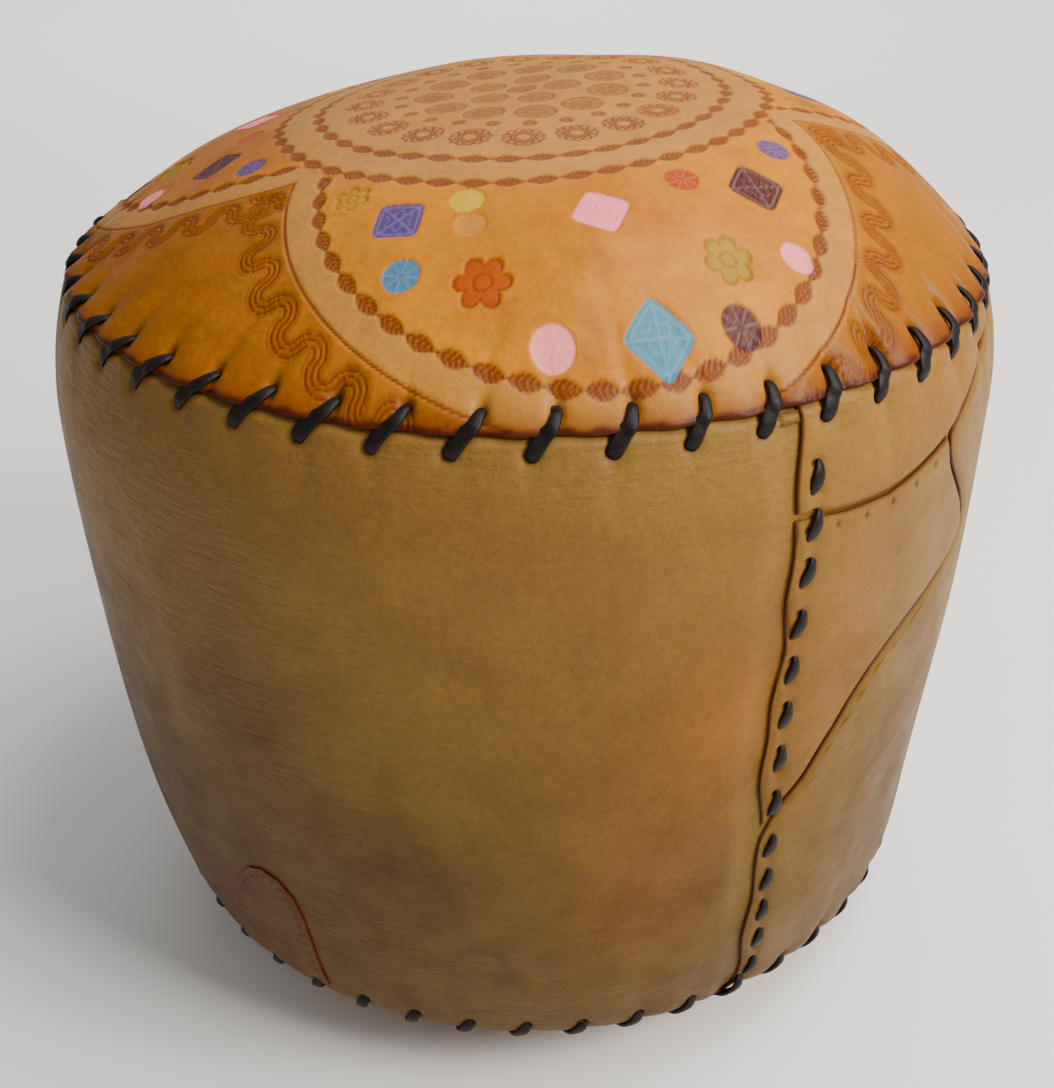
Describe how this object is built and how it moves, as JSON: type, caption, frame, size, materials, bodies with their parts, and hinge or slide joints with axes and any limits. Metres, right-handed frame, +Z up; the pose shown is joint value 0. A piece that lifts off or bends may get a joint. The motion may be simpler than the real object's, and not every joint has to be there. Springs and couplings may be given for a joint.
{
  "type": "leather floor pouf",
  "caption": "Round laced leather floor pouf: a tooled crown over a stuffed drum wall, whip-stitched round the rim and base with flat thong.",
  "frame": {"origin": "centre of the flat underside, on the floor", "axes": "+Z up, square to the floor; the front, with the laced side seam to its right, faces -Y; +X to the right"},
  "size_m": [0.4221, 0.4216, 0.4045],
  "materials": {
    "crown_leather": "tooled, dyed and waxed hide, satin",
    "wall_leather": "vegetable tanned hide, aged, low satin",
    "patch_leather": "thin skived hide, low satin",
    "base_leather": "plain hide, matte",
    "thong_leather": "dark brown dyed thong, glossy",
    "calico": "undyed cotton",
    "stuffing": "packed wool and rag"
  },
  "bodies": {
    "root": {"crown_panel": "crown_leather", "wall_panel_front": "wall_leather", "wall_panel_upper": "wall_leather", "wall_panel_middle": "wall_leather", "wall_panel_lower": "wall_leather", "repair_patch": "patch_leather", "base_panel": "base_leather", "rim_lacing": "thong_leather", "right_seam_lacing": "thong_leather", "back_seam_lacing": "thong_leather", "base_lacing": "thong_leather", "calico_liner": "calico", "stuffing": "stuffing"}
  },
  "joints": []
}
